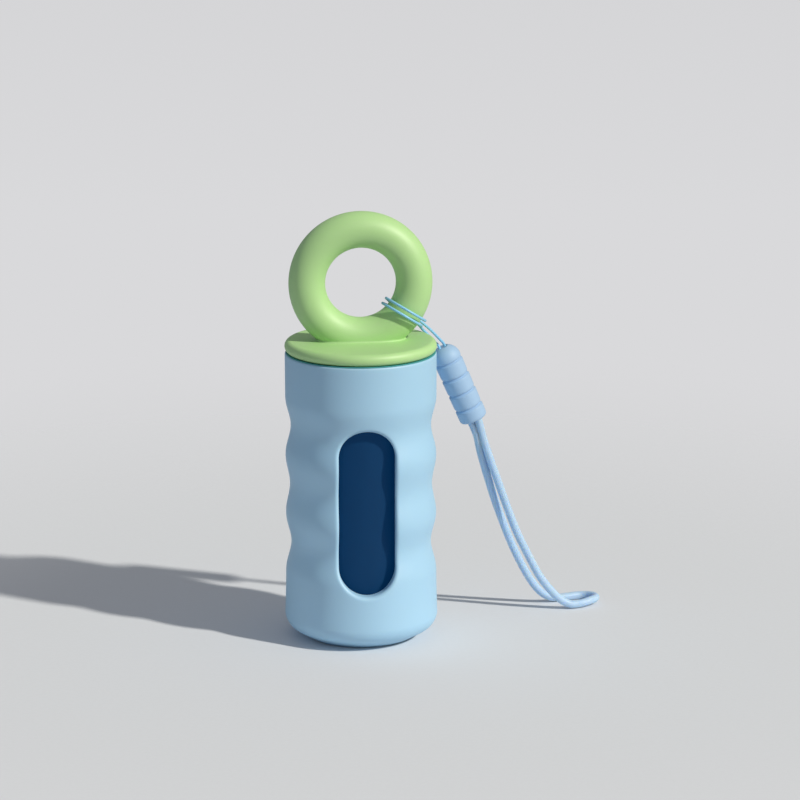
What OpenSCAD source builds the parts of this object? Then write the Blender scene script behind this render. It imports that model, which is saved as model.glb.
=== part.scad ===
// Bag dispenser: a wavy round shell with a window, a screw lid with a ring
// handle, a roll of film bags on a card core, and a wrist strap on the ring.
// The origin is the centre of the base. The window faces -Y, the ring handle
// lies in the XZ plane, and +Z is up.

/* [Shell] */
// Radius of the shell where it is straight
shell_r = 19.5; // [19.3:0.05:20]
// Height of the shell's mouth
shell_h = 75.3; // [74.7:0.1:75.5]
// Bore that the roll lies in
bore_r = 16.4; // [16:0.1:16.8]
// Thickness of the floor
floor_t = 2.2; // [2.1:0.1:2.4]
// Radius of the flat disc that the shell stands on
foot_r = 13.5; // [13:0.5:14]
// Rise of the base outside the flat disc
foot_rise = 30; // [27:1:31]
// Round between base and wall
foot_round = 4.5; // [4:0.5:5]
// Distance between two grooves
wave_pitch = 15.5; // [15:0.1:15.6]
// Height of the lowest groove
wave_low = 25.2; // [25:0.1:26]
// Depth of the lowest and highest grooves
wave_deep = 1.38; // [0.8:0.02:1.5]
// Depth of the middle groove
wave_shallow = 1.1; // [0.8:0.05:1.4]

/* [Window] */
// Clear width of the window
window_w = 14.5; // [12:0.1:15]
// Height of the window's lower end
window_low = 15.1; // [13:0.1:16]
// Height of the window's upper end
window_high = 58.3; // [55:0.1:60]

/* [Lid] */
// Radius of the lid's disc
disc_r = 19.6; // [19.5:0.05:19.8]
// Thickness of the disc, whose edge is fully round
disc_t = 3.1; // [3:0.1:3.4]
// Gap between the shell's rim and the disc, which the seal bridges
seal_gap = 0.2; // [0.15:0.05:0.3]
// Depth of the step in the shell's rim that the seal lies in
seal_seat = 0.35; // [0.3:0.05:0.4]
// Radius of the ring handle to the middle of its bar
ring_r = 13.8; // [13.5:0.1:14.2]
// Radius of the ring handle's bar
ring_bar_r = 4.7; // [4.5:0.05:5]
// Overall height of the object
overall_h = 112; // [111:0.5:113]

/* [Thread] */
// Rise of the thread in one turn
thread_pitch = 4; // [3.8:0.1:4.2]
// Radius of the mouth that the plug screws into
mouth_r = 18; // [17.9:0.05:18.1]
// Radius of the lid's plug
plug_r = 16.9; // [16.8:0.05:17]
// Length of the plug
plug_l = 6.1; // [5.9:0.1:6.2]

/* [Roll] */
// Radius of the full roll of bags
roll_r = 15.2; // [14.5:0.1:15.4]
// Length of the roll
roll_l = 63; // [60:0.5:63]
// Outer radius of the card core
core_r = 7.2; // [6:0.1:8]
// Inner radius of the card core
core_bore_r = 6.2; // [4.5:0.1:6.2]

/* [Strap] */
// Angle of the hitch on the ring handle
hitch_angle = -35.5; // [-37:0.5:-34]
// Diameter of the thin cord
hitch_cord_d = 0.7; // [0.6:0.05:0.7]
// Diameter of the wrist cord
wrist_cord_d = 2.1; // [1.8:0.1:2.1]
// Radius of the sleeve's ribs
rib_r = 3.8; // [3.7:0.05:3.9]
// Distance between two ribs
rib_pitch = 4.5; // [4.3:0.1:4.6]

/* [Hidden] */

cut = 1;                  // how far a cutter reaches past a face
fine = 96;                // sides of a round that is drawn as arcs

// ---------------------------------------------------------------- the shell
wave_mid = wave_low + wave_pitch;
wave_high = wave_low + 2 * wave_pitch;
flare_reach = shell_h - wave_mid;     // the wall flares towards both ends
top_flare = 0.05;
foot_flare = 0.35;
mouth_round = 0.5;
mouth_depth = 6.6;
mouth_lead = 1.6;                     // height of the cone below the mouth
seal_seat_r = 18.9;                   // the step that the seal lies in

// Depth of one groove, a cosine-squared dip, at a height from its middle
function groove(from_middle, depth) =
    abs(from_middle) > wave_pitch / 2 ? 0
    : depth * pow(cos(180 * from_middle / wave_pitch), 2);

function flare(z) =
    (z > wave_mid ? top_flare : foot_flare) * pow((z - wave_mid) / flare_reach, 4);

// Outer radius of the shell at a height
function wall_r(z) =
    shell_r + flare(z)
    - groove(z - wave_low, wave_deep)
    - groove(z - wave_mid, wave_shallow)
    - groove(z - wave_high, wave_deep);

// The round at the foot touches both the base cone and the wall
foot_side_r = shell_r + foot_flare;
foot_round_x = foot_side_r - foot_round;
foot_round_z = (foot_round + (foot_round_x - foot_r) * sin(foot_rise)) / cos(foot_rise);

function arc_points(x, z, r, from, to, steps) =
    [for (i = [0 : steps]) let (a = from + (to - from) * i / steps)
        [x + r * cos(a), z + r * sin(a)]];

wall_step = 1.5;
wall_low = foot_round_z + wall_step;
wall_high = shell_h - mouth_round - wall_step;
mouth_side_r = shell_r + top_flare;

shell_profile = concat(
    [[0, 0], [foot_r, 0]],
    arc_points(foot_round_x, foot_round_z, foot_round, foot_rise - 90, 0, 6),
    [for (z = [wall_low : wall_step : wall_high]) [wall_r(z), z]],
    arc_points(mouth_side_r - mouth_round, shell_h - mouth_round, mouth_round, 0, 90, 3),
    [[0, shell_h]]
);

window_r = window_w / 2;

// Cutter for the window: a round-ended prism that runs out through the front
module window_cutter() {
    rotate([90, 0, 0])
        linear_extrude(shell_r + 2 * cut)
            union() {
                translate([-window_r, window_low + window_r])
                    square([window_w, window_high - window_low - window_w]);
                for (z = [window_low + window_r, window_high - window_r])
                    translate([0, z]) circle(window_r, $fn = fine);
            }
}

// ---------------------------------------------------------------- the thread
thread_step = 12;                     // degrees between two sections
thread_root = 0.8;                    // half the width of a ridge where it starts
thread_tip = 0.4;                     // half the width of a ridge at its tip
thread_bite = 0.3;                    // how far a ridge is sunk into its wall
shell_ridge_r = 17.2;
lid_ridge_r = 17.7;
thread_low = shell_h - 5.25;          // middle of the shell's ridge at its lower end

// A closed skin over a row of rings that all have the same number of points
module skin(rings) {
    sides = len(rings[0]);
    last = len(rings) - 1;
    points = [for (ring = rings) each ring];
    walls = [for (i = [0 : last - 1], j = [0 : sides - 1]) let (k = (j + 1) % sides)
        [i * sides + j, (i + 1) * sides + j, (i + 1) * sides + k, i * sides + k]];
    start = [for (j = [0 : sides - 1]) j];
    end = [for (j = [sides - 1 : -1 : 0]) last * sides + j];
    polyhedron(points, concat([start], walls, [end]));
}

// One ridge of thread from angle a0 over one turn. Its section runs from the
// root radius to the tip radius, and it fades out over its first and last step.
module ridge(root_r, tip_r, a0, z0) {
    steps = 360 / thread_step;
    skin([for (i = [0 : steps])
        let (a = a0 + i * thread_step,
             z = z0 + thread_pitch * (a - a0) / 360,
             fade = (i == 0 || i == steps) ? 0.3 : 1,
             tip = root_r + (tip_r - root_r) * fade,
             turn = sign(tip_r - root_r))
        [for (p = [[root_r, -thread_root], [tip, -thread_tip],
                   [tip, thread_tip], [root_r, thread_root]])
            [p[0] * cos(a), p[0] * sin(a), z - p[1] * turn]]]);
}

module body_shell() {
    color([0.71, 0.83, 0.90]) {
        difference() {
            rotate_extrude($fn = fine) polygon(shell_profile);
            translate([0, 0, floor_t]) cylinder(h = shell_h, r = bore_r, $fn = fine);
            translate([0, 0, shell_h - mouth_depth])
                cylinder(h = mouth_depth + cut, r = mouth_r, $fn = fine);
            translate([0, 0, shell_h - mouth_depth - mouth_lead])
                cylinder(h = mouth_lead, r1 = bore_r, r2 = mouth_r, $fn = fine);
            translate([0, 0, shell_h - seal_seat])
                cylinder(h = seal_seat + cut, r = seal_seat_r, $fn = fine);
            window_cutter();
        }
        ridge(mouth_r + thread_bite, shell_ridge_r, 0, thread_low);
    }
}

// ------------------------------------------------------------------- the lid
disc_low = shell_h + seal_gap;
disc_high = disc_low + disc_t;
ring_z = overall_h - ring_r - ring_bar_r;
plug_wall = 1.7;
plug_floor = disc_low + 0.5;          // the plug is hollow up to here

module ring_handle() {
    translate([0, 0, ring_z])
        rotate([90, 0, 0])
            rotate_extrude($fn = fine)
                translate([ring_r, 0]) circle(ring_bar_r, $fn = fine);
}

module lid_disc() {
    rotate_extrude($fn = fine)
        union() {
            translate([0, disc_low]) square([disc_r - disc_t / 2, disc_t]);
            translate([disc_r - disc_t / 2, disc_low + disc_t / 2])
                circle(disc_t / 2, $fn = fine);
            translate([0, disc_low - plug_l]) square([plug_r, plug_l + cut]);
        }
}

module lid() {
    color([0.65, 0.82, 0.54]) {
        difference() {
            union() {
                lid_disc();
                ring_handle();
            }
            translate([0, 0, disc_low - plug_l - cut])
                cylinder(h = plug_floor - disc_low + plug_l + cut,
                         r = plug_r - plug_wall, $fn = fine);
        }
        ridge(plug_r - thread_bite, lid_ridge_r, 200,
              thread_low + thread_pitch * 200 / 360 - thread_pitch / 2);
    }
}

// Flat seal between the step in the shell's rim and the disc, with a hair's
// gap on both faces
seal_in_r = 17.8;
seal_out_r = seal_seat_r - 0.1;
seal_air = 0.05;
seal_t = seal_seat + seal_gap - 2 * seal_air;

module seal_ring() {
    color([0.20, 0.36, 0.48])
        translate([0, 0, shell_h - seal_seat + seal_air])
            difference() {
                cylinder(h = seal_t, r = seal_out_r, $fn = fine);
                translate([0, 0, -cut])
                    cylinder(h = seal_t + 2 * cut, r = seal_in_r, $fn = fine);
            }
}

// ------------------------------------------------------------------ the roll
roll_low = floor_t + 0.4;
tail_t = 0.3;
tail_arc = 150;                       // the last turn's arc, centred on the window
tail_inset = 1;

module bag_roll() {
    color([0.08, 0.20, 0.33])
        translate([0, 0, roll_low])
            difference() {
                cylinder(h = roll_l, r = roll_r, $fn = fine);
                translate([0, 0, -cut]) cylinder(h = roll_l + 2 * cut, r = core_r, $fn = fine);
            }
}

module roll_core() {
    color([0.66, 0.56, 0.43])
        translate([0, 0, roll_low])
            difference() {
                cylinder(h = roll_l, r = core_r, $fn = fine);
                translate([0, 0, -cut]) cylinder(h = roll_l + 2 * cut, r = core_bore_r, $fn = fine);
            }
}

module bag_tail() {
    color([0.09, 0.23, 0.37])
        rotate([0, 0, -90 - tail_arc / 2])
            rotate_extrude(angle = tail_arc, $fn = fine)
                translate([roll_r, roll_low + tail_inset])
                    square([tail_t, roll_l - 2 * tail_inset]);
}

// ----------------------------------------------------------------- the strap
// The sleeve's axis, from the pole of its dome to the middle of its foot
sleeve_top = [21.9, 8.2, 74.6];
sleeve_foot = [30.6, 9.2, 54.6];
sleeve_run = sleeve_foot - sleeve_top;
sleeve_l = norm(sleeve_run);
sleeve_down = sleeve_run / sleeve_l;
sleeve_tilt = acos(-sleeve_down[2]);
sleeve_turn = atan2(sleeve_down[1], sleeve_down[0]);

dome_r = 3.7;
ribs = 4;
foot_rib_l = 3.8;                     // the last rib is cut short by the foot
dome_l = sleeve_l - (ribs - 1) * rib_pitch - foot_rib_l;
groove_r = 3.3;
collar_l = 0.5;                       // height of the cone from a groove to a rib
sleeve_bore_r = 2.35;
sleeve_bore_l = 15;
eye_r = 1.2;                          // hole in the dome for the thin cord
crimp_l = 5;
crimp_high = sleeve_l - sleeve_bore_l;              // measured down from the pole
crimp_low = crimp_high + crimp_l;

// Puts a shape that is drawn with +Z up its axis, and its pole at the origin,
// on the sleeve's axis
module on_sleeve() {
    translate(sleeve_top) rotate([0, 0, sleeve_turn]) rotate([0, -sleeve_tilt, 0]) children();
}

rib_edge = 0.8;                       // round on each lower edge
rib_taper = 0.15;                     // how far a rib narrows down its length
edge_turn = -50;                      // where that round meets the groove, in degrees

// The rounded lower edge of the dome or of a rib, down to the groove below it
function lower_edge(r, bottom, turn) =
    arc_points(r - rib_edge, bottom + rib_edge, rib_edge, 0, turn, 4);

// One rib, from its groove over its collar and down to its lower edge
function rib_points(top, bottom, turn) = concat(
    [[groove_r, top], [rib_r, top - collar_l]],
    lower_edge(rib_r - rib_taper, bottom, turn)
);

// Half the sleeve's section: down the outside, then up the bore and the eye
sleeve_profile = concat(
    arc_points(0, -dome_r, dome_r, acos(eye_r / dome_r), 0, 8),
    lower_edge(dome_r, -dome_l, edge_turn),
    [for (i = [0 : ribs - 2]) let (top = -dome_l - i * rib_pitch)
        each rib_points(top, top - rib_pitch, edge_turn)],
    rib_points(foot_rib_l - sleeve_l, -sleeve_l, -90),
    [[sleeve_bore_r, -sleeve_l], [sleeve_bore_r, -crimp_high], [eye_r, -crimp_high]]
);

module sleeve() {
    color([0.60, 0.76, 0.88])
        on_sleeve() rotate_extrude($fn = fine) polygon(sleeve_profile);
}

module cord_crimp() {
    color([0.72, 0.72, 0.74])
        on_sleeve()
            translate([0, 0, -crimp_low])
                cylinder(h = crimp_l, r = sleeve_bore_r, $fn = fine);
}

// A point of the sleeve's own frame: across to the side, towards the front,
// and down from the dome's pole
sleeve_side = [cos(sleeve_turn) * cos(sleeve_tilt), sin(sleeve_turn) * cos(sleeve_tilt), sin(sleeve_tilt)];
sleeve_front = cross(sleeve_down, sleeve_side);
function in_sleeve(p) =
    sleeve_top + p[0] * sleeve_side + p[1] * sleeve_front + p[2] * sleeve_down;

// A point near the hitch: angle round the ring's bar (0 is away from the
// ring's middle, 90 is the front), distance from the bar's middle, and
// distance along the bar. The hitch leans, with its outer side and its front
// higher up the bar than its back, where the legs pull it down.
hitch_lean = [0.4, 0.75];
bar_out = [cos(hitch_angle), 0, sin(hitch_angle)];
bar_along = [-sin(hitch_angle), 0, cos(hitch_angle)];
bar_point = [0, 0, ring_z] + ring_r * bar_out;
function at_hitch(p) =
    bar_point + p[1] * (cos(p[0]) * bar_out + sin(p[0]) * [0, -1, 0])
    + (p[2] + hitch_lean * [cos(p[0]), sin(p[0])]) * bar_along;

// One half of the girth hitch: from the back of the bar, where the leg lies
// under the bight, through the ring, over the front and half round the bight
wrap_half = [
    [-100, 5.3, 0.4], [-125, 5.4, 0.5], [-150, 5.6, 0.7], [-175, 5.9, 0.8],
    [-200, 6.0, 0.8], [-225, 6.0, 0.8], [-250, 5.9, 0.8], [-275, 5.9, 0.8],
    [-300, 5.8, 0.8], [-325, 5.7, 0.8], [-350, 5.7, 0.8], [-375, 5.8, 0.8],
    [-400, 5.9, 1.1], [-420, 6.1, 1.4], [-436, 6.1, 1.5], [-449, 6.2, 1.5],
    [-458, 6.2, 1.1], [-462.5, 6.3, 0.4]
];

// The legs run from the bar to the eye in the sleeve's dome. The lower one
// drops behind the lid's rim on its way.
upper_leg = [[14.4, 5.7, 83], [18.1, 6.6, 79.9], [21.2, 7.7, 76.6]];
lower_leg = [
    [13.3, 5.9, 82.8], [15.7, 6.9, 80.6], [17.1, 8.8, 78.8], [18.4, 9.5, 77.4],
    [19.8, 9.6, 75.8], [20.8, 8.8, 74.9]
];

// Both legs end in the mouth of the eye. The sleeve lifts about the upper one's
// foot, and the cord's ends inside it move with the sleeve, a hair below the legs.
leg_gap = 0.75;
ends_air = 0.45;
function leg_foot(side) = in_sleeve([side * leg_gap, 0, 0]);
function leg_end(side) =
    [for (down = [ends_air, crimp_high / 2, crimp_high]) in_sleeve([side * leg_gap, 0, down])];

function mirrored(points) = [for (p = points) [p[0], p[1], -p[2]]];
function reversed(points) = [for (i = [len(points) - 1 : -1 : 0]) points[i]];
function on_bar(points) = [for (p = points) at_hitch(p)];

hitch_route = concat(
    [leg_foot(1)], reversed(upper_leg), on_bar(wrap_half),
    on_bar(reversed(mirrored(wrap_half))), lower_leg, [leg_foot(-1)]
);

// The wrist cord goes down behind, round on the ground and up again in front
floor_z = 1.1;
strand_side = [0.9, 0.6, 0];                        // where a strand leaves the foot
function strand_in_sleeve(side) =
    [for (down = [crimp_low, (crimp_low + sleeve_l) / 2, sleeve_l])
        in_sleeve(side * strand_side + [0, 0, down])];

wrist_loop = [
    [31.5, 10.2, 50], [32.5, 11.1, 45.7], [33.8, 12.1, 41.1], [35.2, 13.1, 36.5],
    [36.6, 14.1, 32.1], [38.2, 15.2, 27.6], [39.9, 16.3, 23.1], [41.7, 17.4, 18.6],
    [43.6, 18.5, 14.4], [45.6, 19.5, 10.4], [47.5, 20.4, 7.1], [49.5, 21.1, 4.3],
    [51.5, 21.7, 2.4], [53.6, 22.2, 1.4], [55.8, 22.7, floor_z], [58, 23.3, floor_z],
    [60.2, 24, floor_z], [61.9, 24.3, floor_z], [63.3, 23.9, 1.2], [64.4, 22.9, 1.4],
    [65.1, 21.6, 1.5], [65.2, 20.2, 1.6], [64.7, 18.9, 1.6], [63.7, 17.8, 1.6],
    [62.4, 16.9, 1.5], [60.9, 16.2, 1.3], [59.3, 15.8, 1.2], [57.8, 15.5, 1.3],
    [56.2, 15.4, 1.9], [54.4, 15.2, 3.2], [52.4, 14.9, 5.3], [50.5, 14.6, 7.7],
    [48.8, 14.3, 10.2], [47.4, 14, 12.8], [45.9, 13.6, 15.8], [44.2, 13.1, 19.2],
    [42.5, 12.7, 22.9], [41, 12.2, 26.7], [39.5, 11.7, 30.8], [38.1, 11.2, 34.7],
    [36.8, 10.8, 38.4], [35.4, 10.4, 42.3], [34.1, 10, 46.2], [33, 9.8, 49.6]
];

wrist_route = concat(strand_in_sleeve(-1), wrist_loop, reversed(strand_in_sleeve(1)));

function unit(v) = v / norm(v);
function heading(path, i) =
    unit(path[min(i + 1, len(path) - 1)] - path[max(i - 1, 0)]);

// Side directions along a path, each carried over from the one before it
function sides_along(path, side, i = 0) =
    i == len(path) ? []
    : let (h = heading(path, i), s = unit(side - (side * h) * h))
        concat([s], sides_along(path, s, i + 1));

cord_sides = 8;

module cord(path, d) {
    across = sides_along(path, [0, 0, 1]);
    skin([for (i = [0 : len(path) - 1])
        let (u = across[i], v = cross(heading(path, i), u))
        [for (j = [0 : cord_sides - 1]) let (a = 360 * j / cord_sides)
            path[i] + d / 2 * (cos(a) * u + sin(a) * v)]]);
}

module hitch_cord() {
    color([0.36, 0.72, 0.92]) cord(hitch_route, hitch_cord_d);
}

module hitch_cord_ends() {
    color([0.36, 0.72, 0.92])
        for (side = [-1, 1]) cord(leg_end(side), hitch_cord_d);
}

module wrist_cord() {
    color([0.56, 0.74, 0.89]) cord(wrist_route, wrist_cord_d);
}

body_shell();
lid();
seal_ring();
bag_roll();
bag_tail();
roll_core();
hitch_cord();
hitch_cord_ends();
sleeve();
cord_crimp();
wrist_cord();
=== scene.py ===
# %% [markdown]
# # A bag dispenser with a ring handle and a wrist strap
#
# The dispenser is a round plastic shell with three soft grooves and a window, closed by a
# screw lid whose top is one round-edged disc with a ring standing on it. A roll of thin film
# bags lies inside. A thin cord is hitched round the ring, and a ribbed sleeve joins it to a
# thicker wrist loop. This script dresses the construction model: it reads the frame first,
# because every piece made below is placed from it and rides on one of its bodies.

# %% Load the frame
import math

import bmesh
import bpy
import numpy as np
from mathutils import Matrix, Vector


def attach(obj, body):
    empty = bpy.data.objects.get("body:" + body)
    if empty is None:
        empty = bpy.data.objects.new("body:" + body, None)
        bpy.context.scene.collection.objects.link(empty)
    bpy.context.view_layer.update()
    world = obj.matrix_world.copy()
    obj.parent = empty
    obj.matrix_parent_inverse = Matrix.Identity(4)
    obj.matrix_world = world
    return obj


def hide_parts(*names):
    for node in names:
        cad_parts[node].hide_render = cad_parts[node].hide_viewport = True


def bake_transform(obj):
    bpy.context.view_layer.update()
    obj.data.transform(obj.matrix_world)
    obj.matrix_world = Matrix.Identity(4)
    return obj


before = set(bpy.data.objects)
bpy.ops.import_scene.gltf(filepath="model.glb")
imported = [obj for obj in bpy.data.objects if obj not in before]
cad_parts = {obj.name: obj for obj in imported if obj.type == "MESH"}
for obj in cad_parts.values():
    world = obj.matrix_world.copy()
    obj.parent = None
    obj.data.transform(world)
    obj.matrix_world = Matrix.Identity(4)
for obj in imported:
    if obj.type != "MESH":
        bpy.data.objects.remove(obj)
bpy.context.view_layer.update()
MM = 0.001

# %% [markdown]
# ## Camera
#
# A small object shot from far away with a long lens keeps its sides nearly parallel, which
# is what makes a product picture look calm. The camera stands 0.9 m off and looks down a
# little, and it is moved a few degrees round the object, so that the window looks just past
# the lens. Every object of the script enters the scene through one small helper.


# %% Camera
def add_object(name, data):
    """Puts an object that shows this data into the scene."""
    thing = bpy.data.objects.new(name, data)
    bpy.context.scene.collection.objects.link(thing)
    return thing


CAMERA_DISTANCE = 900 * MM
CAMERA_HEIGHT = 277 * MM
CAMERA_ASIDE = 10.11 * MM
CAMERA_PITCH = 13.402         # degrees below the horizon
CAMERA_ROUND = 6.0            # degrees round the object, to its left
CAMERA_LENS = 161.4           # mm
CAMERA_SENSOR = 36            # mm across


def turned(x, y, degrees):
    """The point (x, y) turned about the origin, anticlockwise seen from above."""
    c, s = math.cos(math.radians(degrees)), math.sin(math.radians(degrees))
    return x * c - y * s, x * s + y * c


camera = add_object("camera", bpy.data.cameras.new("camera"))
camera.data.lens = CAMERA_LENS
camera.data.sensor_width = CAMERA_SENSOR
camera.data.clip_start = 0.05
camera.location = (*turned(CAMERA_ASIDE, -CAMERA_DISTANCE, -CAMERA_ROUND), CAMERA_HEIGHT)
camera.rotation_euler = (math.radians(90 - CAMERA_PITCH), 0, math.radians(-CAMERA_ROUND))
bpy.context.scene.camera = camera
print("camera at", [round(x, 3) for x in camera.location])

# %% [markdown]
# ## Meshes from numbers
#
# Most pieces here are lathe shapes or tubes, so two helpers carry the work. Sizes are thought
# of in millimetres and turned into metres in one place, when the mesh is made. Each object
# stays at the origin and keeps its place in its mesh.


# %% Make an object from points in millimetres
def mesh_object(name, points, faces, smooth_angle=40):
    """A smooth-shaded object. Edges sharper than smooth_angle degrees stay crisp."""
    mesh = bpy.data.meshes.new(name)
    mesh.from_pydata([tuple(float(x) * MM for x in p) for p in points], [], faces)
    mesh.validate()
    mesh.shade_smooth()
    mesh.set_sharp_from_angle(angle=math.radians(smooth_angle))
    return add_object(name, mesh)


def unit(v):
    return v / np.linalg.norm(v)


# %% [markdown]
# ## The two cords
#
# Cords come first, because their real length settles where everything on them lies. The thin
# cord is a pair of legs hitched round the ring's bar. Both legs leave the sleeve's eye, pass
# behind the bar, come forward through the ring, go over the bar's front and round its outer
# side, and a bight joins them behind, over the legs. The wrist cord leaves the sleeve's foot,
# lies on the ground and comes back.
#
# A curve object with a bevel would be quicker, but each cord is a mesh tube swept along its
# route, with a frame carried from ring to ring so that it never twists. Its UV map runs round
# and along the cord, and the braid pattern follows it, its gaps in painted shade.

# %% The sleeve's own axis, as in the construction
SLEEVE_TOP = np.array([21.9, 8.2, 74.6])
SLEEVE_FOOT = np.array([30.6, 9.2, 54.6])
SLEEVE_L = float(np.linalg.norm(SLEEVE_FOOT - SLEEVE_TOP))
SLEEVE_BORE_L = 15.0
SLEEVE_BORE_R = 2.35
CRIMP_L = 5.0
CRIMP_HIGH = SLEEVE_L - SLEEVE_BORE_L
CRIMP_LOW = CRIMP_HIGH + CRIMP_L

sleeve_down = (SLEEVE_FOOT - SLEEVE_TOP) / SLEEVE_L
sleeve_turn = math.atan2(sleeve_down[1], sleeve_down[0])
sleeve_tilt = math.acos(-sleeve_down[2])
sleeve_side = np.array([
    math.cos(sleeve_turn) * math.cos(sleeve_tilt),
    math.sin(sleeve_turn) * math.cos(sleeve_tilt),
    math.sin(sleeve_tilt),
])
sleeve_front = np.cross(sleeve_down, sleeve_side)


def in_sleeve(side, front, down):
    """A point given across, towards the front and down from the dome's pole."""
    return SLEEVE_TOP + side * sleeve_side + front * sleeve_front + down * sleeve_down


print(f"sleeve: {SLEEVE_L:.2f} mm long, {math.degrees(sleeve_tilt):.1f} degrees off upright")

# %% The place on the ring's bar where the thin cord is hitched
OVERALL_H = 112.0
RING_R = 13.8
RING_BAR_R = 4.7
RING_Z = OVERALL_H - RING_R - RING_BAR_R
HITCH_ANGLE = math.radians(-35.5)    # round the ring from its right-hand side, downwards
HITCH_LEAN = (0.4, 0.75)      # how much higher it lies on the bar's outer side and front
bar_out = np.array([math.cos(HITCH_ANGLE), 0, math.sin(HITCH_ANGLE)])
bar_along = np.array([-math.sin(HITCH_ANGLE), 0, math.cos(HITCH_ANGLE)])
bar_point = np.array([0, 0, RING_Z]) + RING_R * bar_out


def at_hitch(angle, reach, along):
    """A point near the bar: angle round it (90 is the front), distance from its middle,
    and distance along it. The hitch leans: its outer side and its front are higher up the
    bar than its back, where the legs pull it down."""
    c, s = math.cos(math.radians(angle)), math.sin(math.radians(angle))
    lean = HITCH_LEAN[0] * c + HITCH_LEAN[1] * s
    return (bar_point + reach * (c * bar_out + s * np.array([0, -1, 0]))
            + (along + lean) * bar_along)


print("hitched round", [round(float(x), 1) for x in bar_point])

# %% The thin cord's route, in millimetres
HITCH_D = 0.7
LEG_GAP = 0.75                # from the sleeve's axis to the middle of a thin leg

WRAP_HALF = [
    (-100, 5.3, 0.4), (-125, 5.4, 0.5), (-150, 5.6, 0.7), (-175, 5.9, 0.8),
    (-200, 6.0, 0.8), (-225, 6.0, 0.8), (-250, 5.9, 0.8), (-275, 5.9, 0.8),
    (-300, 5.8, 0.8), (-325, 5.7, 0.8), (-350, 5.7, 0.8), (-375, 5.8, 0.8),
    (-400, 5.9, 1.1), (-420, 6.1, 1.4), (-436, 6.1, 1.5), (-449, 6.2, 1.5),
    (-458, 6.2, 1.1), (-462.5, 6.3, 0.4),
]
UPPER_LEG = [(14.4, 5.7, 83), (18.1, 6.6, 79.9), (21.2, 7.7, 76.6)]
LOWER_LEG = [
    (13.3, 5.9, 82.8), (15.7, 6.9, 80.6), (17.1, 8.8, 78.8), (18.4, 9.5, 77.4),
    (19.8, 9.6, 75.8), (20.8, 8.8, 74.9),
]
LEG_ENDS = [CRIMP_HIGH, CRIMP_HIGH / 2, 0.0]

hitch_route = (
    [in_sleeve(LEG_GAP, 0, down) for down in LEG_ENDS]
    + UPPER_LEG[::-1]
    + [at_hitch(*p) for p in WRAP_HALF]
    + [at_hitch(angle, reach, -along) for angle, reach, along in WRAP_HALF[::-1]]
    + LOWER_LEG
    + [in_sleeve(-LEG_GAP, 0, down) for down in LEG_ENDS[::-1]]
)
print("thin cord:", len(hitch_route), "points in its route")

# %% The wrist cord's route, in millimetres
WRIST_D = 2.1
GROUND = 1.1                  # height of the wrist cord's middle where it lies

WRIST_LOOP = [
    (31.5, 10.2, 50), (32.5, 11.1, 45.7), (33.8, 12.1, 41.1), (35.2, 13.1, 36.5),
    (36.6, 14.1, 32.1), (38.2, 15.2, 27.6), (39.9, 16.3, 23.1), (41.7, 17.4, 18.6),
    (43.6, 18.5, 14.4), (45.6, 19.5, 10.4), (47.5, 20.4, 7.1), (49.5, 21.1, 4.3),
    (51.5, 21.7, 2.4), (53.6, 22.2, 1.4), (55.8, 22.7, GROUND), (58, 23.3, GROUND),
    (60.2, 24, GROUND), (61.9, 24.3, GROUND), (63.3, 23.9, 1.2), (64.4, 22.9, 1.4),
    (65.1, 21.6, 1.5), (65.2, 20.2, 1.6), (64.7, 18.9, 1.6), (63.7, 17.8, 1.6),
    (62.4, 16.9, 1.5), (60.9, 16.2, 1.3), (59.3, 15.8, 1.2), (57.8, 15.5, 1.3),
    (56.2, 15.4, 1.9), (54.4, 15.2, 3.2), (52.4, 14.9, 5.3), (50.5, 14.6, 7.7),
    (48.8, 14.3, 10.2), (47.4, 14, 12.8), (45.9, 13.6, 15.8), (44.2, 13.1, 19.2),
    (42.5, 12.7, 22.9), (41, 12.2, 26.7), (39.5, 11.7, 30.8), (38.1, 11.2, 34.7),
    (36.8, 10.8, 38.4), (35.4, 10.4, 42.3), (34.1, 10, 46.2), (33, 9.8, 49.6),
]
STRAND = (0.9, 0.6)
STRAND_ENDS = [CRIMP_LOW, (CRIMP_LOW + SLEEVE_L) / 2, SLEEVE_L]

wrist_route = (
    [in_sleeve(-STRAND[0], -STRAND[1], down) for down in STRAND_ENDS]
    + WRIST_LOOP
    + [in_sleeve(STRAND[0], STRAND[1], down) for down in STRAND_ENDS[::-1]]
)
print("wrist cord:", len(wrist_route), "points in its route")


# %% Smooth a route and measure it
def smooth_route(route, steps):
    """A Catmull-Rom curve through the route's points, with steps points to each span."""
    p = np.array([np.asarray(q, float) for q in route])
    p = np.vstack([2 * p[0] - p[1], p, 2 * p[-1] - p[-2]])
    curve = []
    for a, b, c, d in zip(p[:-3], p[1:-2], p[2:-1], p[3:]):
        for t in np.arange(steps) / steps:
            curve.append(0.5 * (2 * b + (c - a) * t + (2 * a - 5 * b + 4 * c - d) * t**2
                                + (3 * b - a - 3 * c + d) * t**3))
    curve.append(p[-2])
    return np.array(curve)


# %% Sweep a tube along a path
def carried_frames(path):
    """Two directions across the path at each point, carried along without a twist."""
    ahead = np.array([unit(v) for v in np.gradient(path, axis=0)])
    side = np.cross(ahead[0], [0, 0, 1])
    sides = []
    for heading in ahead:
        side = unit(side - np.dot(side, heading) * heading)
        sides.append(side)
    sides = np.array(sides)
    return sides, np.cross(ahead, sides)


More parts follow.
